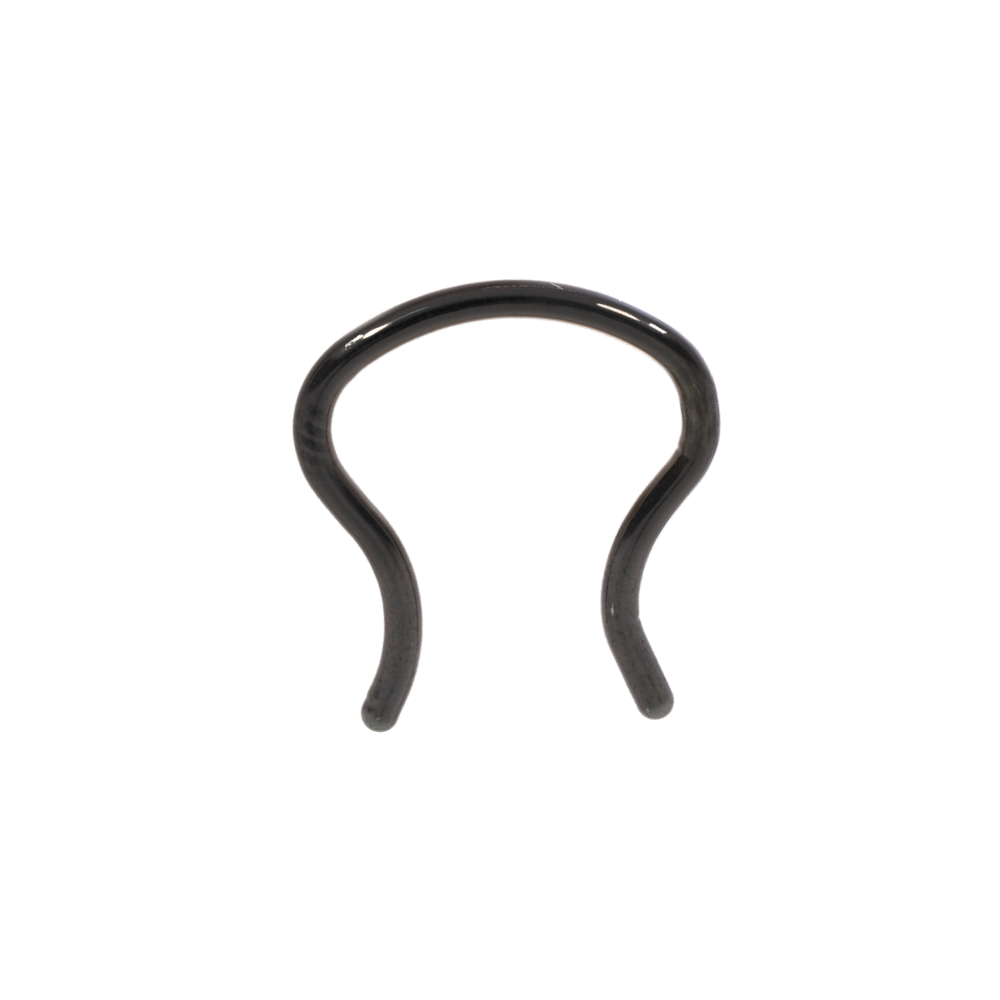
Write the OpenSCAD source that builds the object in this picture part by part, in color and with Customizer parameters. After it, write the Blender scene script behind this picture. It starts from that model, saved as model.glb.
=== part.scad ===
// Septum retainer: one round wire bent into an omega, lying flat on its side.
// Where a size has two values, the first is for the left side and the second for the right.
// The wire was bent by hand, so the two sides differ a little.
// Every bend radius runs to the middle of the wire, and every turn is in degrees.

/* [Wire] */
// Diameter of the wire, 16 gauge
wire_d = 1.2; // [0.8:0.1:1.6]

/* [Crown] */
// Radius of the wide crown, which sits in the piercing
crown_r = 8; // [7:0.1:9]
// Turn of the crown on each side of its middle
crown_turn = [23.5, 26]; // [20:0.5:28]

/* [Shoulders] */
// Radius of the easy bend where the crown goes over into the shoulder
haunch_r = [9.8, 8.9]; // [6:0.1:12]
// Turn of that easy bend
haunch_turn = [11.5, 10.5]; // [8:0.5:14]
// Radius of the shoulder, the tight bend at the widest place
shoulder_r = [3.1, 3.25]; // [2.8:0.05:3.6]
// Turn of the shoulder
shoulder_turn = [86.5, 95.5]; // [84:0.5:98]

/* [Legs] */
// Radius of the slant, the nearly straight stretch that runs in from the shoulder
slant_r = [14, 21]; // [12:1:40]
// Turn of the slant
slant_turn = [7.5, 1.5]; // [1:0.5:8]
// Radius of the upper bend of the waist, where the leg turns downwards
waist_r = [5.2, 6.1]; // [4:0.1:7]
// Turn of the upper bend of the waist
waist_turn = [29, 34]; // [26:0.5:36]
// Radius of the lower bend of the waist, where the leg turns outwards
heel_r = [5.9, 3.4]; // [3:0.1:7]
// Turn of the lower bend of the waist
heel_turn = [34.5, 31]; // [28:0.5:36]
// Straight run at the end of each leg, up to its rounded tip
end_len = [0.77, 2.18]; // [0.6:0.01:2.4]

/* [Hidden] */
$fn = 48;

// The wire's radius, which is also the radius of its rounded tips
wire_r = wire_d / 2;

// The two sides: the place of each one's value in a size
LEFT = 0;
RIGHT = 1;

// Columns of a row, which is one bend. An outward bend has a turn below zero
RADIUS = 0;
TURN = 1;

// The bends of one side, from the middle of the crown to the straight end
function side_rows(side) = [
    [crown_r, crown_turn[side]],
    [haunch_r[side], haunch_turn[side]],
    [shoulder_r[side], shoulder_turn[side]],
    [slant_r[side], slant_turn[side]],
    [waist_r[side], -waist_turn[side]],
    [heel_r[side], -heel_turn[side]]
];
SHOULDER_ROW = 2;

// Each row's bend has its seam this much further round the wire than the bend before it
seam_step = 45;

// Direction of the wire before row n, in degrees below straight outwards
function heading(rows, n) = n == 0 ? 0 : heading(rows, n - 1) + rows[n - 1][TURN];

// Step along a bend that starts at a heading: the chord of its arc
function bend_step(radius, turn, start) =
    sign(turn) * radius * [sin(start + turn) - sin(start), cos(start + turn) - cos(start)];

// Place of the wire's middle before row n, from the crown's middle, with x outwards and y up
function place(rows, n) = n == 0 ? [0, 0] : place(rows, n - 1)
    + bend_step(rows[n - 1][RADIUS], rows[n - 1][TURN], heading(rows, n - 1));

// Direction and place of the wire where its straight end starts
function end_heading(rows) = heading(rows, len(rows));
function end_place(rows) = place(rows, len(rows));

// Centre of the arc of row n
function centre(rows, n) = place(rows, n)
    - sign(rows[n][TURN]) * rows[n][RADIUS] * [sin(heading(rows, n)), cos(heading(rows, n))];

// Furthest reach of a side from the crown's middle: where its shoulder runs straight down
function reach(rows) = centre(rows, SHOULDER_ROW)[0] + rows[SHOULDER_ROW][RADIUS] + wire_r;

// Furthest drop of a side from the crown's middle: its rounded tip
function drop(side) = wire_r + end_len[side] * sin(end_heading(side_rows(side))) - end_place(side_rows(side))[1];

// The middle of the whole part's box, from the crown's middle
middle_x = (reach(side_rows(RIGHT)) - reach(side_rows(LEFT))) / 2;
middle_y = (wire_r - max(drop(LEFT), drop(RIGHT))) / 2;

// Moves its children by whole hundredths first and then by the rest, which keeps the small digits
module at(point) {
    coarse = [for (c = point) round(c * 100) / 100];
    translate([coarse[0], coarse[1], 0])
        translate([point[0] - coarse[0], point[1] - coarse[1], 0])
            children();
}

// Turns its children by nearly the whole angle first and then by the rest, which keeps the small digits
module turned(angle) {
    coarse = atan2(round(sin(angle) * 1e6), round(cos(angle) * 1e6));
    rotate([0, 0, angle - coarse])
        rotate([0, 0, coarse])
            children();
}

// A stretch of ring round the origin, counter-clockwise from a start angle
module arc(radius, start, turn, seam) {
    rotate_extrude(angle = turn, start = start)
        translate([radius, 0])
            rotate(seam)
                circle(d = wire_d);
}

// The crown, one stretch of ring over both sides of its middle
module crown() {
    at([0, -crown_r])
        arc(crown_r, 90 - crown_turn[RIGHT], crown_turn[LEFT] + crown_turn[RIGHT], 0);
}

// The bend of row n. An outward one has its centre outside the wire, so its arc starts on the far side
module bend(rows, n) {
    turn = rows[n][TURN];
    start = turn > 0 ? 90 - heading(rows, n) - turn : -90 - heading(rows, n);
    at(centre(rows, n))
        arc(rows[n][RADIUS], start, abs(turn), n * seam_step);
}

// A straight run and its rounded tip along x, one outline turned about x
module straight_with_tip(length) {
    rotate([0, 90, 0])
        rotate_extrude() {
            square([wire_r, length]);
            translate([0, length])
                intersection() {
                    circle(r = wire_r);
                    square(wire_r);
                }
        }
}

// One side of the wire, from the end of the crown to the tip, with x outwards
module leg(side) {
    rows = side_rows(side);
    for (n = [1 : len(rows) - 1])
        bend(rows, n);
    at(end_place(rows))
        turned(-end_heading(rows))
            straight_with_tip(end_len[side]);
}

// The whole wire, resting on its side with the crown towards +y
module retainer_wire() {
    color([0.1, 0.1, 0.11])
        translate([-middle_x, -middle_y, wire_r])
            union() {
                crown();
                mirror([1, 0, 0])
                    leg(LEFT);
                leg(RIGHT);
            }
}

retainer_wire();
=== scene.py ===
import math

import bpy
import numpy as np
from mathutils import Matrix, Vector


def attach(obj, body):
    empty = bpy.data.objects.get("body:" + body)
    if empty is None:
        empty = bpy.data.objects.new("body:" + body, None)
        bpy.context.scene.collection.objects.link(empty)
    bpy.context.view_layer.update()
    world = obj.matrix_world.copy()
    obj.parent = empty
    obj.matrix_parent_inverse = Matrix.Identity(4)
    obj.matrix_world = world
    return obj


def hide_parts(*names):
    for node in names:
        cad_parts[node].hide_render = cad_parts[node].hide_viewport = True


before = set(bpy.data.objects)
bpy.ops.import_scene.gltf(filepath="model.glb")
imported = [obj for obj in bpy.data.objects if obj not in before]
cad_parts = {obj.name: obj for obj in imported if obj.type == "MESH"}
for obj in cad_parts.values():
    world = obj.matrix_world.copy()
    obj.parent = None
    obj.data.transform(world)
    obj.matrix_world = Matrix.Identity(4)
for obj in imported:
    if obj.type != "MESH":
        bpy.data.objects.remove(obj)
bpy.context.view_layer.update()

millimetre = 0.001  # in metres


class Signal:
    # A shader value. Sums and products of signals and numbers add Math nodes
    def __init__(self, bench, socket):
        self.bench = bench
        self.socket = socket

    def maths(self, operation, *values):
        node = self.bench.node("ShaderNodeMath", dict(operation=operation), dict(enumerate(values)))
        return Signal(self.bench, node.outputs[0])

    def __add__(self, other):
        return self.maths("ADD", self, other)

    def __radd__(self, other):
        return self.maths("ADD", other, self)

    def __sub__(self, other):
        return self.maths("SUBTRACT", self, other)

    def __rsub__(self, other):
        return self.maths("SUBTRACT", other, self)

    def __mul__(self, other):
        return self.maths("MULTIPLY", self, other)

    def __rmul__(self, other):
        return self.maths("MULTIPLY", other, self)

    def __truediv__(self, other):
        return self.maths("DIVIDE", self, other)

    def __abs__(self):
        return self.maths("ABSOLUTE", self)

    def least(self, other):
        return self.maths("MINIMUM", self, other)

    def most(self, other):
        return self.maths("MAXIMUM", self, other)


class Bench:
    # A node tree and the ways that this script adds to it
    def __init__(self, tree):
        self.tree = tree
        tree.nodes.clear()

    def node(self, kind, settings=None, inputs=None):
        # Adds a node: its settings first, then the values or links of its sockets
        node = self.tree.nodes.new(kind)
        for name, value in (settings or {}).items():
            setattr(node, name, value)
        for name, value in (inputs or {}).items():
            socket = node.inputs[name]
            if isinstance(value, Signal):
                self.tree.links.new(value.socket, socket)
            else:
                socket.default_value = value
        return node

    def signal(self, kind, settings=None, inputs=None, output=0):
        return Signal(self, self.node(kind, settings, inputs).outputs[output])

    def step(self, value, start, stop, low=0.0, high=1.0):
        # Runs smoothly from low to high while the value runs from start to stop
        settings = dict(interpolation_type="SMOOTHSTEP")
        return self.signal("ShaderNodeMapRange", settings, {0: value, 1: start, 2: stop, 3: low, 4: high})

    def bell(self, value, middle, wide):
        # 1 at the middle, falling to about a third at the given width on either side
        far = (value - middle) / wide
        return self.signal("ShaderNodeMath", dict(operation="EXPONENT"), {0: far * far * -1})

    def blend(self, amount, first, second):
        # The first colour where the amount is 0, and the second where it is 1
        settings = dict(data_type="RGBA", blend_type="MIX")
        return self.signal("ShaderNodeMix", settings, {0: amount, 6: first, 7: second}, output=2)

    def brighten(self, colour, amount):
        return self.signal("ShaderNodeVectorMath", dict(operation="SCALE"), {0: colour, 3: amount})

    def noise(self, place, scale, detail, rough, output=0):
        return self.signal("ShaderNodeTexNoise", {}, {0: place, 2: scale, 3: detail, 4: rough}, output)


# One bent wire. Lengths are in mm and turns in degrees; where there are two, the left side comes first
wireShape = dict(
    wireWide=1.2,
    crownRound=(8.0, 8.0),
    crownTurn=(23.5, 26.0),
    haunchRound=(9.8, 8.9),  # the easy bend from the crown into the shoulder
    haunchTurn=(11.5, 10.5),
    shoulderRound=(3.1, 3.25),
    shoulderTurn=(86.5, 95.5),
    slantRound=(14.0, 21.0),  # the nearly straight stretch below the shoulder
    slantTurn=(7.5, 1.5),
    waistRound=(5.2, 6.1),
    waistTurn=(29.0, 34.0),
    heelRound=(5.9, 3.4),
    heelTurn=(34.5, 31.0),
    endRun=(0.77, 2.18),  # straight, up to the rounded tip
    alongSteps=880,
    roundSteps=96,
    tipSteps=20,
)


def sideBends(side):
    # Rows of one side from the crown's middle to the tip: length of each bend in mm, which is its radius
    # times its turn, and its turn in radians, below zero where it bends outwards
    shape = wireShape
    bends = ("crown", "haunch", "shoulder", "slant", "waist", "heel")
    rounds = np.array([shape[bend + "Round"][side] for bend in bends])
    turns = np.radians([shape[bend + "Turn"][side] for bend in bends])
    lengths = np.append(rounds * turns, shape["endRun"][side])
    turns = np.append(turns * [1, 1, 1, 1, -1, -1], 0.0)
    return lengths, turns


def sideLine(side, run):
    # Middle line of one side at the lengths run from the crown's middle, x outwards and y up.
    # On a bend that began at heading h with curvature k, a run of d has turned by k d. Its chord is
    # d sinc(k d / 2 pi) long and points along h + k d / 2 below straight outwards
    lengths, turns = sideBends(side)
    starts = np.append(0.0, np.cumsum(lengths)[:-1])
    headings = np.append(0.0, np.cumsum(turns)[:-1])
    curves = turns / lengths
    chords = lengths * np.sinc(turns / (2 * np.pi))
    slopes = headings + turns / 2
    steps = np.column_stack([chords * np.cos(slopes), -chords * np.sin(slopes)])
    corners = np.vstack([[0.0, 0.0], np.cumsum(steps, axis=0)[:-1]])
    row = np.clip(np.searchsorted(starts, run, side="right") - 1, 0, len(starts) - 1)
    into = run - starts[row]
    slope = headings[row] + curves[row] * into / 2
    chord = into * np.sinc(curves[row] * into / (2 * np.pi))
    heading = headings[row] + curves[row] * into
    place = corners[row] + np.column_stack([chord * np.cos(slope), -chord * np.sin(slope)])
    return place, heading


def wireLine(run):
    # Middle line of the whole wire: run is below zero on the left side and above it on the right.
    # Gives the places and the outward directions in mm
    leftPlace, leftHeading = sideLine(0, np.maximum(-run, 0))
    rightPlace, rightHeading = sideLine(1, np.maximum(run, 0))
    onLeft = (run < 0)[:, None]
    place = np.where(onLeft, leftPlace * [-1, 1], rightPlace)
    leftOut = np.column_stack([-np.sin(leftHeading), np.cos(leftHeading)])
    rightOut = np.column_stack([np.sin(rightHeading), np.cos(rightHeading)])
    return place, np.where(onLeft, leftOut, rightOut)


def wireMiddle():
    # The middle of the wire's box, from the crown's middle, which the frame holds at the box's centre
    runs = np.linspace(-sideBends(0)[0].sum(), sideBends(1)[0].sum(), 20001)  # steps of about 0.002 mm
    place = wireLine(runs)[0]
    return (place.min(axis=0) + place.max(axis=0)) / 2


# How the real wire departs from the true one, in mm. A wave's row is how fast it goes along the wire and
# round it, and where it starts, in radians. A sway's row is run, length and shift outwards. A dent's row is
# run, length along the wire, place and reach round it in degrees, and height
bentByHand = dict(
    coatThick=0.01,
    waveHigh=0.0012,
    waves=((2.3, 2, 0), (3.7, -3, 1), (6.1, 1, 2)),
    sways=(
        (-18.3, 0.7, 0.02),
        (-11.2, 1.0, -0.014),
        (-8.9, 0.6, -0.014),
        (-4.4, 0.9, 0.017),
        (4.5, 1.2, 0.015),
        (6.25, 0.45, 0.024),
        (8.05, 0.5, -0.036),
        (10.65, 0.6, -0.042),
        (15.3, 0.9, 0.017),
    ),
    dents=(
        (9.66, 0.15, 165, 45, -0.045),  # kink on the inside of the right shoulder
        (9.1, 0.3, 0, 60, 0.012),
        (15.9, 0.12, 10, 45, -0.035),  # step on the outside of the right heel
        (-18.45, 0.12, 15, 35, -0.03),  # notch near the left tip
        (-18.15, 0.15, 15, 35, 0.012),
        (-5.7, 0.35, 180, 50, 0.026),  # corner on the inside of the left shoulder
    ),
)


def swell(run, place, length):
    # 1 at the place along the wire, falling to about a third at the given length on either side
    return np.exp(-((run - place) / length) ** 2)


def roughSkin(run, angle):
    # Height of the real surface over the true round wire, in mm: the coat, slow sine waves, sways, which are
    # a swell along the wire times the cosine of the angle, and dents, a swell along it times one round it
    rough = bentByHand
    waves = sum(np.sin(along * run + around * angle + start) for along, around, start in rough["waves"])
    height = rough["coatThick"] + rough["waveHigh"] * waves
    for place, length, shift in rough["sways"]:
        height = height + shift * swell(run, place, length) * np.cos(angle)
    for place, length, around, spread, deep in rough["dents"]:
        turned = np.degrees(np.angle(np.exp(1j * (angle - np.radians(around)))))
        height = height + deep * swell(run, place, length) * swell(turned, 0, spread)
    return height


def layWire():
    # The wire as a grid: rows along it, from tip to tip, and steps round it. Cap is 0 on the wire and runs to
    # a quarter turn at a tip. A point is
    # centre + (r + skin) (cos(cap) (cos(angle) out + sin(angle) up) + sin(cap) along).
    # Also gives where each point would be on the straight wire: its run, and its ways out and up, in mm
    shape = wireShape
    wireRound = shape["wireWide"] / 2
    ends = [-sideBends(0)[0].sum(), sideBends(1)[0].sum()]
    body = np.linspace(*ends, shape["alongSteps"] + 1)
    cap = np.linspace(0, np.pi / 2, shape["tipSteps"] + 1)[1:]
    rowRun = np.concatenate([np.full(cap.size, ends[0]), body, np.full(cap.size, ends[1])])
    rowCap = np.concatenate([-cap[::-1], np.zeros(body.size), cap])
    centre, out = wireLine(rowRun)
    along = np.column_stack([out[:, 1], -out[:, 0]])
    angle = np.linspace(0, 2 * np.pi, shape["roundSteps"], endpoint=False) - np.pi / 2
    run, around = np.meshgrid(rowRun + wireRound * np.sin(rowCap), angle, indexing="ij")
    tilt = rowCap[:, None]
    reach = wireRound + roughSkin(run, around)
    outward = np.cos(tilt) * np.cos(around)
    upward = np.cos(tilt) * np.sin(around)
    onward = np.sin(tilt) + 0 * around
    flat = centre[:, None, :] + reach[..., None] * (
        outward[..., None] * out[:, None, :] + onward[..., None] * along[:, None, :])
    height = wireRound + reach * upward
    points = np.dstack([flat - wireMiddle(), height])
    laid = np.dstack([run, wireRound * outward, wireRound * upward])
    return points, laid


def gridFaces(rows, steps):
    # Quads between neighbouring rows, closed round the wire and facing outwards
    first = np.arange(rows - 1)[:, None] * steps + np.arange(steps)[None, :]
    nextStep = np.arange(rows - 1)[:, None] * steps + (np.arange(steps)[None, :] + 1) % steps
    return np.stack([first, first + steps, nextStep + steps, nextStep], axis=-1).reshape(-1, 4)


def buildWire():
    # One closed mesh: quads between the rows of the grid, and a fan of triangles round the point of each tip,
    # which is the mean of the first or the last row
    points, laid = layWire()
    poles = [points[0].mean(axis=0), points[-1].mean(axis=0)]
    poleLaid = [laid[0].mean(axis=0), laid[-1].mean(axis=0)]
    points, laid = points[1:-1], laid[1:-1]
    rows, steps = points.shape[:2]
    places = np.vstack([points.reshape(-1, 3), poles]) * millimetre
    laidPlaces = np.vstack([laid.reshape(-1, 3), poleLaid])
    quads = gridFaces(rows, steps)
    ring = np.arange(steps)
    startPole, endPole = rows * steps, rows * steps + 1
    startFan = np.column_stack([np.full(steps, startPole), ring, (ring + 1) % steps])
    endRing = ring + (rows - 1) * steps
    endFan = np.column_stack([np.full(steps, endPole), np.roll(endRing, -1), endRing])
    mesh = bpy.data.meshes.new("bentWire")
    mesh.from_pydata(places.tolist(), [], quads.tolist() + startFan.tolist() + endFan.tolist())
    mesh.polygons.foreach_set("use_smooth", np.ones(len(mesh.polygons), bool))
    straight = mesh.attributes.new("laidStraight", "FLOAT_VECTOR", "POINT")
    straight.data.foreach_set("vector", laidPlaces.ravel())
    mesh.update()
    wire = bpy.data.objects.new("bentWire", mesh)
    bpy.context.collection.objects.link(wire)
    print("wire: faces", len(mesh.polygons))
    return wire


# The glossy black coat on the drawn wire. Places along the wire are runs in mm. A span's row is where it
# starts and stops, a bell's is its middle and width, and a noise's is its scale, detail and roughness. A
# chip's row is run, angle round the wire, half its length and width in mm, turn from the wire's way in
# degrees, and tone
coatLook = dict(
    crownRough=0.035,
    shoulderRough=0.22,
    legRough=0.12,
    ior=1.4,
    # Where the coat is worn, and where the tips start, which are painted paler as a reflection of the floor
    legStarts=((-14.2, -12.6), (12.4, 14.0)),
    tipStarts=((-18.95, -18.6), (18.7, 19.05)),
    shoulders=((-8.6, 2.2), (8.3, 1.8)),
    shoulderWorn=0.8,
    crownWorn=0.3,
    shoulderPaled=0.2,
    shoulderRoughSpan=(0.1, 0.8),
    dullShare=2.4,  # times how far the grain is from its middle
    # Clouds, stains and grain
    streakShort=0.3,  # the share of the run that their noise sees, which draws them out along the wire
    cloudNoise=(3.0, 4.0, 0.6),
    stainNoise=(6.0, 3.0, 0.65),
    stainSpan=(0.42, 0.6),
    stainAt=(7.7, 1.7),
    stainShare=0.45,
    grainNoise=(7.5, 3.0, 0.7),
    grainSpan=(0.42, 0.58),
    tingeNoise=(3.0, 3.0, 0.6),
    tingeGrey=0.7,  # how much of the noise's colour is taken away
    # The olive and brown side of the right shoulder, and the rubbed line on it
    oliveAt=(7.6, 1.9),
    oliveOutward=(-0.25, 0.35),
    oliveShare=0.8,
    rubbedAt=(8.35, 0.45),
    rubbedOutward=(-0.25, 0.06),
    rubbedShare=0.4,
    # Colours
    blackWarm=(0.012, 0.009, 0.008, 1),
    blackCool=(0.007, 0.008, 0.010, 1),
    wornWarm=(0.121, 0.104, 0.097, 1),
    wornCool=(0.072, 0.070, 0.073, 1),
    wornSpan=(0.3, 0.7),
    olive=(0.120, 0.098, 0.056, 1),
    brown=(0.090, 0.064, 0.045, 1),
    oliveSpan=(0.4, 0.6),
    rubbed=(0.24, 0.235, 0.225, 1),
    # Painted reflection of the floor on the tips
    tipReflectionPale=(0.40, 0.42, 0.40, 1),
    tipReflectionShare=0.5,
    # Painted glints on the crown's highlight line
    pitGlintPale=(0.46, 0.42, 0.33, 1),
    pitGlintShare=0.5,
    chipPale=(0.95, 0.96, 0.82, 1),
    dullDark=(0.010, 0.010, 0.013, 1),
    dullPale=(0.19, 0.175, 0.167, 1),
    mattDark=(0.017, 0.016, 0.021, 1),
    mattBrown=(0.035, 0.026, 0.018, 1),
    # Fine relief, with its heights in mm
    drawnShort=0.06,  # as streakShort, for the lines
    lineNoise=(9.0, 2.0, 0.6),
    lineDeep=0.0012,
    mottleNoise=(1.6, 1.0, 0.5),
    mottleDeep=0.0025,
    smoothAt=(-3.8, 0.6),  # the mottle leaves this place alone
    patchShort=0.35,  # and for the patches
    raggedNoise=(18.0, 2.0, 0.6),
    raggedDeep=0.0035,
    raggedLeft=(-5.1, 0.4),
    raggedRight=(4.0, 1.2),
    raggedRightShare=0.25,
    scrapedNoise=(6.0, 2.0, 0.6),
    scrapedDeep=0.006,
    scrapedAt=(6.5, 0.9),
    # Marks of the pliers on the left shoulder
    markStep=0.55,  # mm from one mark to the next
    markShift=0.27,
    markSlant=0.65,
    markWaver=0.2,
    markWaverNoise=(3.0, 2.0, 0.5),
    markSpan=(0.05, 0.6),
    markPatchNoise=(4.0, 3.0, 0.65),
    markPatchSpan=(0.3, 0.55, 0.35, 1.0),
    markAt=(-8.1, 1.15),
    markOutward=(0.06, 0.4),
    wideMarkAt=(-7.36, 0.25),
    wideMarkOutward=(0.0, 0.3),
    markDeep=0.002,
    markDull=0.7,
    # The row of pale dots on the crown: painted glints of its highlight line, where it breaks up on tiny pits
    pitGlintHigh=0.295,  # mm over the wire's middle, at the middle of the crown
    pitGlintSink=0.014,  # mm lower for each mm to the right
    pitGlintWide=0.018,
    pitGlintNoise=(10.0, 1.0, 0.5),
    pitGlintSpan=(0.42, 0.6),
    pitGlintStart=(-0.65, -0.45),
    pitGlintStop=(2.4, 2.8),
    chipEdge=(0.4, 1.3),  # where a chip fades, in squares of its half length and width
    chips=(
        (15.33, 114, 0.22, 0.035, 0, 0.45),
        (15.36, 115, 0.09, 0.055, 0, 0.6),
        (1.62, 14, 0.24, 0.028, 34, 0.7),
        (3.6, 0, 0.14, 0.02, 90, 0.9),
        (7.03, 89, 0.08, 0.025, 5, 0.3),
        (-18.72, 81, 0.08, 0.04, 40, 0.25),
        (-16.4, 113, 0.15, 0.03, 5, 0.13),
        (-16.05, 116, 0.05, 0.03, 0, 0.2),
        (-17.9, 125, 0.08, 0.03, 20, 0.14),
        (18.5, 53, 0.07, 0.03, 30, 0.12),
        (18.87, 119, 0.06, 0.045, 0, 0.5),
        (-0.3, 97, 0.08, 0.025, 80, 0.06),
    ),
)


def shortened(bench, run, outward, upward, share):
    # The place on the straight wire with its run shortened, which draws a noise out along the wire
    return bench.signal("ShaderNodeCombineXYZ", {}, {0: run * share, 1: outward, 2: upward})


def chipMask(bench, run, arc, chip):
    # The chip's tone inside an ellipse, fading to 0 at its edge. Arc is the way round the wire in mm
    place, around, half, wide, turn, tone = chip
    cosine, sine = math.cos(math.radians(turn)), math.sin(math.radians(turn))
    onward = run - place
    across = arc - math.radians(around) * wireShape["wireWide"] / 2
    first = (onward * cosine + across * sine) / half
    second = (across * cosine - onward * sine) / wide
    return bench.step(first * first + second * second, *coatLook["chipEdge"], tone, 0)


def coatRelief(bench, laid, run, outward, upward):
    # Height of the fine relief in mm: the sum of lines drawn along the wire, a mottle, and ragged and scraped
    # patches, each of them a noise times its depth
    look = coatLook
    lines = bench.noise(shortened(bench, run, outward, upward, look["drawnShort"]), *look["lineNoise"])
    mottle = bench.noise(laid, *look["mottleNoise"]) * (1 - bench.bell(run, *look["smoothAt"]))
    patched = shortened(bench, run, outward, upward, look["patchShort"])
    raggedAt = bench.bell(run, *look["raggedRight"]) * look["raggedRightShare"]
    raggedAt = bench.bell(run, *look["raggedLeft"]) + raggedAt
    ragged = bench.noise(patched, *look["raggedNoise"]) * raggedAt
    scraped = bench.noise(patched, *look["scrapedNoise"]) * bench.bell(run, *look["scrapedAt"])
    height = lines * look["lineDeep"] + mottle * look["mottleDeep"]
    return height + ragged * look["raggedDeep"] + scraped * look["scrapedDeep"]


def toolMarks(bench, laid, run, outward):
    # Marks of the pliers, 0 to 1: a sine along the wire, slanted by the place outwards and wavering a little,
    # that comes and goes in patches, and one wide mark
    look = coatLook
    waver = bench.noise(laid, *look["markWaverNoise"]) * look["markWaver"]
    slanted = run - outward * look["markSlant"] + waver + look["markShift"]
    wave = slanted.maths("SINE", slanted * (2 * math.pi / look["markStep"])) * 0.5 + 0.5
    patch = bench.step(bench.noise(laid, *look["markPatchNoise"]), *look["markPatchSpan"])
    place = bench.bell(run, *look["markAt"]) * bench.bell(outward, *look["markOutward"])
    widePlace = bench.bell(run, *look["wideMarkAt"]) * bench.bell(outward, *look["wideMarkOutward"])
    return (bench.step(wave, *look["markSpan"]) * patch * place).most(widePlace * patch)


def sparkles(bench, laid, run, upward):
    # A row of pale dots along the top of the crown, 0 to 1: painted glints of the highlight line on tiny
    # pits, a noise's peaks on a thin line
    look = coatLook
    line = bench.bell(upward - (look["pitGlintHigh"] - run * look["pitGlintSink"]), 0, look["pitGlintWide"])
    dots = bench.step(bench.noise(laid, *look["pitGlintNoise"]), *look["pitGlintSpan"])
    return line * dots * bench.step(run, *look["pitGlintStart"]) * bench.step(run, *look["pitGlintStop"], 1, 0)


def glossless(bench, colour):
    # A dull surface that reflects nothing sharply
    return bench.node("ShaderNodeBsdfPrincipled", {}, {
        "Base Color": colour,
        "Roughness": 1.0,
        "Specular IOR Level": 0.0,
    })


def mixed(bench, amount, first, second):
    # The first shader where the amount is 0, and the second where it is 1
    return bench.node("ShaderNodeMixShader", {}, {
        0: amount,
        1: Signal(bench, first.outputs[0]),
        2: Signal(bench, second.outputs[0]),
    })


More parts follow.
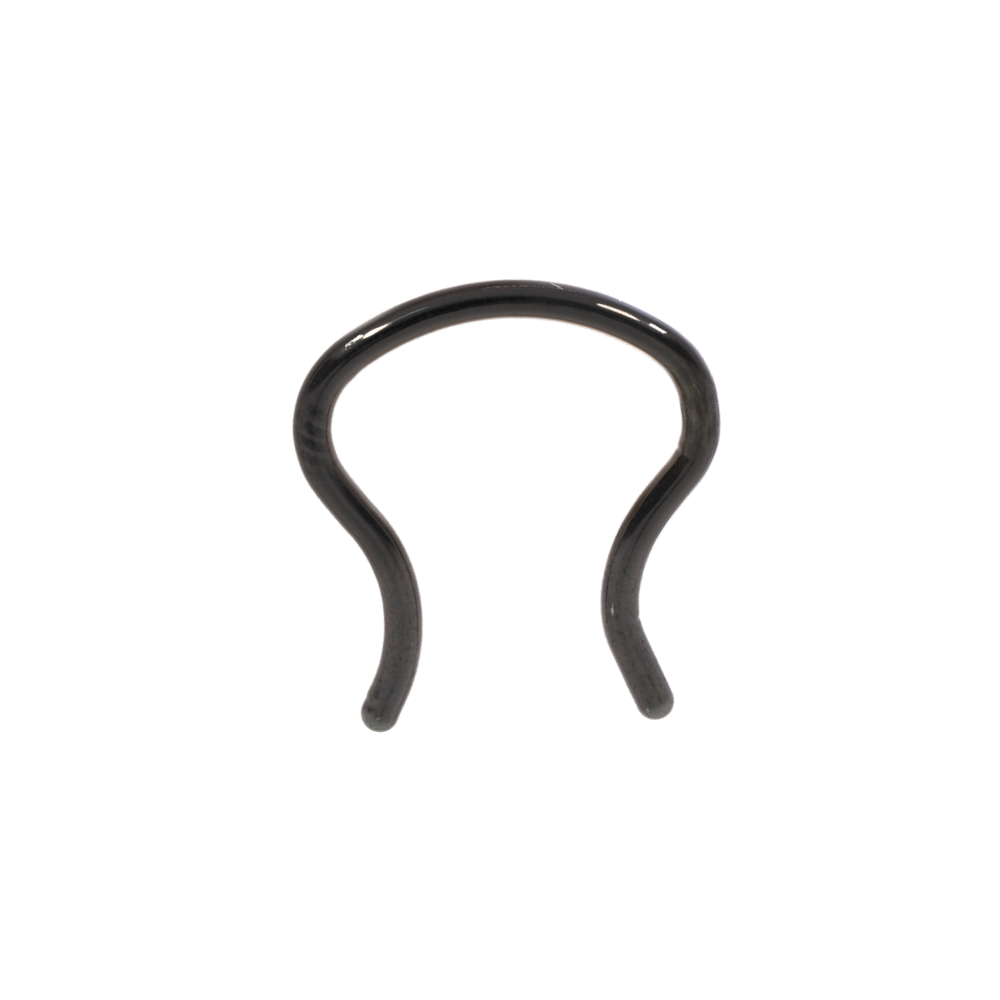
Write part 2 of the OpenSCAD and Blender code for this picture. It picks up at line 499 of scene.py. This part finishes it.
def blackCoat():
    # The coat's material: a glossy black shader, mixed with dull spots and with matt marks and stains
    look = coatLook
    material = bpy.data.materials.new("glossyBlackCoat")
    material.use_nodes = True
    bench = Bench(material.node_tree)
    laid = bench.signal("ShaderNodeAttribute", dict(attribute_name="laidStraight"), output="Vector")
    parts = bench.node("ShaderNodeSeparateXYZ", {}, {0: laid})
    run, outward, upward = (Signal(bench, parts.outputs[i]) for i in range(3))
    arc = upward.maths("ARCTAN2", upward, outward) * (wireShape["wireWide"] / 2)
    # Where the wire is worn: the legs fully, the shoulders in part, and the crown a little
    onLegs = bench.step(run, *look["legStarts"][0], 1, 0) + bench.step(run, *look["legStarts"][1])
    onTips = bench.step(run, *look["tipStarts"][0], 1, 0) + bench.step(run, *look["tipStarts"][1])
    onShoulders = bench.bell(run, *look["shoulders"][0]).most(bench.bell(run, *look["shoulders"][1]))
    wornAt = onLegs.most(onShoulders * look["shoulderWorn"]).most(look["crownWorn"])
    # Clouds drawn out along the wire, stains on the right shoulder, a fine grain and a slight tinge
    streaked = shortened(bench, run, outward, upward, look["streakShort"])
    cloud = bench.noise(streaked, *look["cloudNoise"])
    stain = bench.step(bench.noise(streaked, *look["stainNoise"]), *look["stainSpan"])
    stain = stain * bench.bell(run, *look["stainAt"])
    grain = bench.noise(laid, *look["grainNoise"])
    grey = (0.5, 0.5, 0.5, 1)  # the mean of the noise's colour
    tinge = bench.blend(look["tingeGrey"], bench.noise(laid, *look["tingeNoise"], output="Color"), grey)
    # Colour: blackest on the crown, then the worn places, the olive side, the rubbed line, and the tips with
    # their painted reflection
    black = bench.blend(cloud, look["blackWarm"], look["blackCool"])
    worn = bench.blend(bench.step(cloud, *look["wornSpan"]), look["wornWarm"], look["wornCool"])
    oliveColour = bench.blend(bench.step(cloud, *look["oliveSpan"]), look["olive"], look["brown"])
    oliveAt = bench.bell(run, *look["oliveAt"]) * bench.bell(outward, *look["oliveOutward"])
    rubbedAt = bench.bell(run, *look["rubbedAt"]) * bench.bell(outward, *look["rubbedOutward"])
    base = bench.blend(onLegs.most(onShoulders * look["shoulderPaled"]), black, worn)
    base = bench.blend(oliveAt * look["oliveShare"], base, oliveColour)
    base = bench.blend(rubbedAt * look["rubbedShare"], base, look["rubbed"])
    # Paler tips: painted reflection of the floor
    base = bench.blend(onTips * look["tipReflectionShare"], base, look["tipReflectionPale"])
    tinged = bench.signal("ShaderNodeVectorMath", dict(operation="MULTIPLY"), {0: base, 1: tinge})
    colour = bench.brighten(tinged, 1 / grey[0])
    # Painted glints: pale dots along the crown's highlight line
    dots = sparkles(bench, laid, run, upward)
    colour = bench.blend(dots * look["pitGlintShare"], colour, look["pitGlintPale"])
    chips = 0.0
    for chip in look["chips"]:
        chips = chips + chipMask(bench, run, arc, chip)
    colour = bench.blend(chips, colour, look["chipPale"])
    marks = toolMarks(bench, laid, run, outward)
    height = coatRelief(bench, laid, run, outward, upward) - marks * look["markDeep"]
    bump = bench.signal("ShaderNodeBump", {}, {"Distance": millimetre, "Height": height, "Strength": 1.0})
    crownRough = look["crownRough"]
    legRough = bench.step(onLegs, 0, 1, crownRough, look["legRough"])
    shoulderRough = bench.step(onShoulders, *look["shoulderRoughSpan"], crownRough, look["shoulderRough"])
    gloss = bench.node("ShaderNodeBsdfPrincipled", {}, {
        "Base Color": colour,
        "Roughness": legRough.most(shoulderRough),
        "IOR": look["ior"],
        "Normal": bump,
    })
    # Dull spots, some darker and some paler than the coat round them
    dullColour = bench.blend(bench.step(grain, *look["grainSpan"]), look["dullDark"], look["dullPale"])
    dull = glossless(bench, dullColour)
    scuffed = mixed(bench, abs(grain - 0.5) * look["dullShare"] * wornAt, gloss, dull)
    mattColour = bench.blend(stain, look["mattDark"], look["mattBrown"])
    matt = glossless(bench, mattColour)
    marked = mixed(bench, (marks * look["markDull"]).most(stain * look["stainShare"]), scuffed, matt)
    bench.node("ShaderNodeOutputMaterial", {}, {"Surface": Signal(bench, marked.outputs[0])})
    print("coat: chips", len(look["chips"]))
    return material


# The floor, the soft light that falls on it, and the light cards. Of the floor, the gloss sees a glow of
# painted light with a warm left and a cool right side, and painted shade near the wire where a row takes
# light away. A glow's row is x, y and reach in mm, and what it adds to red, green and blue. A card's row is
# name, shape, polar angle and azimuth of its place, width and length, turn, radiance, colour and metres away,
# with its angles and sizes in degrees as seen from the wire
studio = dict(
    floorWide=3.0,  # metres
    floorColour=(0.9, 0.9, 0.9, 1),
    skyOnFloor=(0.32, 0.32, 0.32, 1),
    overheadOnFloor=0.98,
    overheadSpread=8,  # degrees across
    overheadColour=(1.0, 1.0, 1.0),
    backdrop=(1.0, 1.0, 1.0, 1),
    glowLeft=(1.15, 1.00, 0.93, 1),
    glowRight=(1.38, 1.27, 1.30, 1),
    glowSpan=(-3, 5),  # mm in x, from the left glow to the right one
    # Rows above zero paint pools of light, and rows below zero paint shade near the wire
    glows=(
        (2.2, 2.3, 3.2, (1.20, 0.65, 0.25)),
        (-2.5, 2.2, 2.0, (0.25, 0.02, -0.12)),
        (-3.9, 1.7, 0.8, (0.80, 0.75, 0.75)),
        (-4.3, 1.3, 0.7, (0.50, 0.50, 0.65)),
        (-3.0, 0.5, 0.8, (2.10, 2.00, 2.20)),
        (-4.7, 6.9, 0.9, (2.30, 2.10, 2.00)),
        (-1.9, 7.7, 0.9, (0.55, 0.45, 0.55)),
        (2.0, 7.7, 0.9, (0.60, 0.55, 0.80)),
        (2.5, 9.2, 1.5, (0.60, 0.55, 0.60)),
        (4.8, 7.0, 1.4, (2.60, 2.70, 3.70)),
        (6.5, 5.6, 0.9, (0.90, 0.90, 1.20)),
        (3.8, 3.9, 1.1, (1.30, 1.10, 0.85)),
        (2.0, 5.0, 1.0, (0.45, 0.40, 0.30)),
        (7.3, 4.6, 1.6, (0.70, 0.70, 1.00)),
        (9.5, 1.5, 3.0, (0.65, 0.62, 0.80)),
        (9.5, -3.5, 2.8, (0.65, 0.62, 0.75)),
        (8.2, -6.0, 2.0, (0.35, 0.33, 0.38)),
        (-7.5, -2.2, 1.8, (0.30, 0.27, 0.25)),
        (-3.4, 9.2, 1.5, (-0.35, -0.45, -0.40)),
        (-0.2, 9.3, 1.4, (-0.35, -0.45, -0.40)),
        (0.8, -5.2, 1.6, (0.45, 0.35, 0.20)),
        (-1.2, -5.6, 1.8, (0.45, 0.40, 0.45)),
        (2.6, -7.0, 1.2, (0.20, 0.15, 0.10)),
        (-5.4, -4.0, 1.2, (0.20, 0.15, 0.10)),
        (2.3, -2.1, 0.8, (0.05, -0.10, -0.25)),
        (-1.9, -2.1, 0.8, (0.40, 0.35, 0.50)),
        (2.2, 0.6, 1.0, (-1.30, -1.15, -1.10)),
        (0.8, 1.1, 0.8, (-0.90, -0.80, -0.75)),
        (0.3, 0.1, 0.9, (-0.80, -0.75, -0.70)),
        (3.5, 0.2, 0.8, (-0.70, -0.62, -0.58)),
        (0.6, -2.1, 1.0, (-0.80, -0.75, -0.75)),
        (1.6, -1.2, 0.8, (-0.40, -0.35, -0.30)),
        (-9.5, 6.6, 2.0, (-0.90, -0.85, -0.80)),
        (3.0, -1.2, 0.8, (-0.90, -0.80, -0.75)),
        (5.0, 2.6, 0.6, (-1.10, -0.90, -0.80)),
        (-4.8, -4.2, 0.9, (-0.45, -0.40, -0.35)),
        (-5.1, -2.7, 0.8, (-0.40, -0.36, -0.32)),
        (4.7, -4.2, 0.8, (-0.35, -0.32, -0.30)),
        (5.6, -1.8, 0.8, (-0.80, -0.75, -0.65)),
        (7.1, 0.8, 0.8, (-0.75, -0.70, -0.60)),
        (5.1, -6.1, 0.7, (-0.65, -0.60, -0.50)),
        (3.2, -6.8, 0.6, (-0.50, -0.45, -0.40)),
    ),
    cards=(
        ("haloLeft", "ELLIPSE", 57, 127.7, (9.4, 33), -6, 7, (1.0, 0.6, 0.35), 2.2),
        ("haloRight", "ELLIPSE", 63.5, 52.2, (11.4, 27), 1.5, 6, (1.0, 0.55, 0.35), 2.2),
        ("stripLeft", "ELLIPSE", 57, 127.7, (8.1, 22), -6, 38, (1.0, 0.97, 0.88), 2.0),
        ("stripLeftEnd", "RECTANGLE", 75, 132.2, (2.8, 19), 0, 38, (0.95, 1.0, 0.85), 2.1),
        ("tailLeft", "ELLIPSE", 57.6, 117.5, (13, 6), 0, 5, (0.75, 1.0, 0.95), 2.3),
        ("stripRight", "ELLIPSE", 63, 52.2, (10.6, 15), 1.5, 28, (1.0, 1.0, 0.93), 2.0),
        ("stripRightEnd", "RECTANGLE", 76, 41.7, (5.8, 18), 1, 32, (1.0, 0.98, 0.93), 2.1),
    ),
)


def aim(thing, direction, roll=0.0):
    # Turns a light so that it shines against the direction, after a roll about its own line
    rolled = Matrix.Rotation(math.radians(roll), 3, "Z").to_quaternion()
    thing.rotation_euler = (direction.to_track_quat("Z", "Y") @ rolled).to_euler()


def skyWay(polar, azimuth):
    # Direction at an angle from straight up and an azimuth from +x towards +y, in degrees
    down, around = math.radians(polar), math.radians(azimuth)
    return Vector((math.sin(down) * math.cos(around), math.sin(down) * math.sin(around), math.cos(down)))


def layFloor():
    # A flat square. The camera and soft light see it plain and pale, and the gloss sees the glow of painted
    # light: a warm colour that goes over into a cool one from left to right, and on it a bell times a bell
    # for each row, which paints a pool of light or, where the row is below zero, painted shade near the wire
    half = studio["floorWide"] / 2
    mesh = bpy.data.meshes.new("floor")
    corners = [(-half, -half, 0), (half, -half, 0), (half, half, 0), (-half, half, 0)]
    mesh.from_pydata(corners, [], [(0, 1, 2, 3)])
    floor = bpy.data.objects.new("floor", mesh)
    floorOnly = bpy.data.collections.new("floorOnly")
    bpy.context.scene.collection.children.link(floorOnly)
    floorOnly.objects.link(floor)
    material = bpy.data.materials.new("paleFloor")
    material.use_nodes = True
    bench = Bench(material.node_tree)
    place = bench.signal("ShaderNodeTexCoord", output="Object")
    parts = bench.node("ShaderNodeSeparateXYZ", {}, {0: place})
    x, y = (Signal(bench, parts.outputs[i]) / millimetre for i in range(2))
    glow = bench.blend(bench.step(x, *studio["glowSpan"]), studio["glowLeft"], studio["glowRight"])
    for atX, atY, reach, colour in studio["glows"]:
        spot = bench.brighten(colour, bench.bell(x, atX, reach) * bench.bell(y, atY, reach))
        glow = bench.signal("ShaderNodeVectorMath", dict(operation="ADD"), {0: glow, 1: spot})
    pale = bench.node("ShaderNodeBsdfDiffuse", {}, {"Color": studio["floorColour"]})
    glowing = bench.node("ShaderNodeEmission", {}, {"Color": glow})
    rays = bench.node("ShaderNodeLightPath")
    seen = mixed(bench, Signal(bench, rays.outputs["Is Glossy Ray"]), pale, glowing)
    bench.node("ShaderNodeOutputMaterial", {}, {"Surface": Signal(bench, seen.outputs[0])})
    mesh.materials.append(material)
    print("floor: glows", len(studio["glows"]))


def addSun(name, way, strength, spread, colour):
    # A soft sun that lights the floor only, and doesn't show in the gloss
    lamp = bpy.data.lights.new(name, "SUN")
    lamp.energy = strength
    lamp.angle = math.radians(spread)
    lamp.color = colour
    lampObject = bpy.data.objects.new(name, lamp)
    bpy.context.collection.objects.link(lampObject)
    aim(lampObject, way)
    lampObject.visible_glossy = False
    lampObject.light_linking.receiver_collection = bpy.data.collections["floorOnly"]


def addCard(name, shape, polar, azimuth, size, turn, radiance, colour, away):
    # A light card that shows in the gloss only. A side is 2 away tan(half its angle), and the power is
    # pi times radiance times area
    lamp = bpy.data.lights.new(name, "AREA")
    lamp.shape = shape
    lamp.size = 2 * away * math.tan(math.radians(size[0] / 2))
    lamp.size_y = 2 * away * math.tan(math.radians(size[1] / 2))
    area = lamp.size * lamp.size_y * (math.pi / 4 if shape == "ELLIPSE" else 1)
    lamp.energy = radiance * math.pi * area
    lamp.color = colour
    lampObject = bpy.data.objects.new(name, lamp)
    bpy.context.collection.objects.link(lampObject)
    way = skyWay(polar, azimuth)
    lampObject.location = away * way
    aim(lampObject, way, turn)
    lampObject.visible_diffuse = False
    # Nothing of it comes back off the wire to the floor
    lamp.use_nodes = True
    bench = Bench(lamp.node_tree)
    rays = bench.node("ShaderNodeLightPath")
    direct = 1 - Signal(bench, rays.outputs["Diffuse Depth"]).least(1.0)
    emission = bench.node("ShaderNodeEmission", {}, {"Strength": direct})
    bench.node("ShaderNodeOutputLight", {}, {"Surface": Signal(bench, emission.outputs[0])})


# What the gloss sees above the floor. Polar angles are from straight up, the others run from +y towards +x,
# and all are in degrees. A span's row is where it starts and stops, and then its values there where they
# aren't 0 and 1. A bell's row is its middle and width
skyLook = dict(
    # The right side, where the direction's x, less the lean times its y, passes over the span
    rightLean=0.15,
    rightSpan=(-0.03, 0.10),
    # The pale front, which starts nearer to straight up on the right and away from its middle
    frontSpan=(6, 26, 0.05, 1.25),
    frontNearerRight=6,
    frontNearerAside=5,
    asideSpan=(20, 50),
    lowSpan=(25, 75),
    lowSides=(-0.25, 0.15, 0.8, 0.5),  # over the direction's x
    shadeRight=(94, 10),
    shadeRightPolar=(37, 14),
    shadeRightShare=0.6,
    shadeLeft=(-115, 32),
    shadeLeftPolar=(50, 65),
    shadeLeftShare=0.33,
    liftRight=(140, 32),
    liftShare=0.3,
    # The back, with its two dark arms and the glow behind the light cards
    backEdge=(80, 92),
    backSpan=(22, 55, 0.08, 1.4),
    backLowSpan=(70, 90, 0.0, 0.15),
    armLeft=-70,
    armLeftSpan=(11, 19),
    armRight=73,
    armRightSpan=(13, 24),
    armRightWider=(28, 55, 9, 0),
    armRightLow=(64, 90),
    armTone=0.25,
    glowLeft=(-40, 8),
    glowLeftPolar=(66, 12),
    glowRight=(45, 8),
    glowRightPolar=(66, 10),
    glowTone=2.0,
    # The middle, round straight up, and further down on the right
    topSpan=(2, 7, 0.25, 0),
    topRightSpan=(26, 42, 0.42, 0),
    # Colours high up and near the floor
    nearFloorSpan=(40, 95),
    frontHigh=(1.03, 0.98, 0.95, 1),
    frontLow=(1.16, 0.95, 0.83, 1),
    backHigh=(0.98, 0.98, 1.02, 1),
    backLow=(1.14, 0.95, 0.93, 1),
)


def paintSky():
    # The sky's colour is a tint times a light. The light is that of the front or the back half, or that of
    # the middle where that is more. Each is a sum of spans, dimmed by shades or by the dark arms
    look = skyLook
    world = bpy.data.worlds.new("studioSky")
    bpy.context.scene.world = world
    world.use_nodes = True
    world.cycles.sampling_method = "NONE"
    bench = Bench(world.node_tree)
    way = bench.signal("ShaderNodeTexCoord", output="Generated")
    parts = bench.node("ShaderNodeSeparateXYZ", {}, {0: way})
    x, y, z = (Signal(bench, parts.outputs[i]) for i in range(3))
    polar = z.maths("ARCCOSINE", z) * (180 / math.pi)
    fromBack = x.maths("ARCTAN2", x, y) * (180 / math.pi)  # 0 towards +y, 90 towards +x

    def off(middle):
        # Degrees to either side of a middle
        return abs(x.maths("WRAP", fromBack - middle, 180.0, -180.0))

    def near(middle, wide):
        # A bell over those degrees
        return bench.bell(off(middle), 0, wide)

    onRight = bench.step(x - y * look["rightLean"], *look["rightSpan"])
    aside = bench.step(off(180), *look["asideSpan"])
    nearer = onRight * look["frontNearerRight"] + aside * look["frontNearerAside"]
    low = bench.step(polar, *look["lowSpan"]) * bench.step(x, *look["lowSides"])
    shadeRight = near(*look["shadeRight"]) * bench.bell(polar, *look["shadeRightPolar"])
    shadeLeft = near(*look["shadeLeft"]) * bench.step(polar, *look["shadeLeftPolar"])
    shade = shadeRight * look["shadeRightShare"] + shadeLeft * look["shadeLeftShare"]
    lift = near(*look["liftRight"]) * look["liftShare"]
    front = (bench.step(polar + nearer, *look["frontSpan"]) + low) * (1 - shade + lift)
    backHalf = 1 - bench.step(abs(fromBack), *look["backEdge"])
    bars = bench.step(polar, *look["backSpan"]) + bench.step(polar, *look["backLowSpan"])
    armLeft = 1 - bench.step(off(look["armLeft"]), *look["armLeftSpan"])
    wider = bench.step(polar, *look["armRightWider"])
    armRight = 1 - bench.step(off(look["armRight"]) - wider, *look["armRightSpan"])
    armRight = armRight * (1 - bench.step(polar, *look["armRightLow"]))
    glowLeft = near(*look["glowLeft"]) * bench.bell(polar, *look["glowLeftPolar"]) * look["glowTone"]
    glowRight = near(*look["glowRight"]) * bench.bell(polar, *look["glowRightPolar"]) * look["glowTone"]
    arms = armLeft.most(armRight)
    back = bars * (1 - arms) + arms * look["armTone"] + glowLeft * (1 - armLeft) + glowRight
    middle = onRight * bench.step(polar, *look["topRightSpan"]) + bench.step(polar, *look["topSpan"])
    light = (front * (1 - backHalf) + back * backHalf).most(middle)
    nearFloor = bench.step(polar, *look["nearFloorSpan"])
    frontTint = bench.blend(nearFloor, look["frontHigh"], look["frontLow"])
    backTint = bench.blend(nearFloor, look["backHigh"], look["backLow"])
    pattern = bench.brighten(bench.blend(backHalf, frontTint, backTint), light)
    # Only the gloss sees the pattern. The camera sees the backdrop, and the floor a plain sky
    rays = bench.node("ShaderNodeLightPath")
    glossy = Signal(bench, rays.outputs["Is Glossy Ray"])
    camera = Signal(bench, rays.outputs["Is Camera Ray"])
    plain = bench.blend(camera, studio["skyOnFloor"], studio["backdrop"])
    colour = bench.blend(glossy, plain, pattern)
    background = bench.node("ShaderNodeBackground", {}, {"Color": colour})
    bench.node("ShaderNodeOutputWorld", {}, {"Surface": Signal(bench, background.outputs[0])})


def lightStudio():
    # The sky, a soft sun that shines along the camera's way, and the light cards
    paintSky()
    strength = studio["overheadOnFloor"] * math.pi / viewWay().z
    addSun("overheadSoft", viewWay(), strength, studio["overheadSpread"], studio["overheadColour"])
    for card in studio["cards"]:
        addCard(*card)
    print("studio: sky, a soft sun and light cards", len(studio["cards"]))


# Where the picture is taken from, as turns from straight above the wire
photoView = dict(
    pictureWide=1000,  # pixels
    lookDown=19.89,  # degrees from straight above, towards the crown
    yaw=-2.32,
    roll=2.13,
    pixelsPerMm=31.355,
    wireAtPixel=(509.8, 503.8),  # where the middle of the wire's box falls
    lensMm=1500.0,
    sensorMm=36.0,
    clipMetres=(0.01, 20.0),  # nearest and furthest that it sees
)


def viewWay():
    # Direction from the wire to the camera
    yaw, down = math.radians(photoView["yaw"]), math.radians(photoView["lookDown"])
    return Vector((math.sin(yaw) * math.cos(down), math.sin(down), math.cos(yaw) * math.cos(down)))


def setCamera():
    # The camera looks against viewWay at a target beside the wire, which puts the wire's middle on its pixel.
    # Level and upright are across and up in the picture before the roll, and right and up after it
    view = photoView
    yaw, roll = math.radians(view["yaw"]), math.radians(view["roll"])
    way = viewWay()
    level = Vector((math.cos(yaw), 0, -math.sin(yaw)))
    upright = way.cross(level)
    right = level * math.cos(roll) - upright * math.sin(roll)
    up = level * math.sin(roll) + upright * math.cos(roll)
    perPixel = millimetre / view["pixelsPerMm"]
    frameWide = view["pictureWide"] * perPixel
    wireAt = Vector((0, 0, wireShape["wireWide"] / 2 * millimetre))
    besides = (view["wireAtPixel"][0] - view["pictureWide"] / 2) * perPixel
    below = (view["wireAtPixel"][1] - view["pictureWide"] / 2) * perPixel
    target = wireAt - right * besides + up * below
    cameraData = bpy.data.cameras.new("photoCamera")
    cameraData.lens = view["lensMm"]
    cameraData.sensor_width = view["sensorMm"]
    cameraData.clip_start, cameraData.clip_end = view["clipMetres"]
    camera = bpy.data.objects.new("photoCamera", cameraData)
    bpy.context.collection.objects.link(camera)
    away = frameWide * view["lensMm"] / view["sensorMm"]
    turned = Matrix((right, up, way)).transposed().to_4x4()
    camera.matrix_world = Matrix.Translation(target + way * away) @ turned
    bpy.context.scene.camera = camera
    print("camera: away", round(away, 4), "m")


setCamera()
layFloor()
lightStudio()
wire = buildWire()
wire.data.materials.append(blackCoat())
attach(wire, "root")
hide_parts("retainer_wire")

bpy.context.scene.view_settings.view_transform = "Standard"
bpy.context.scene.view_settings.look = "None"
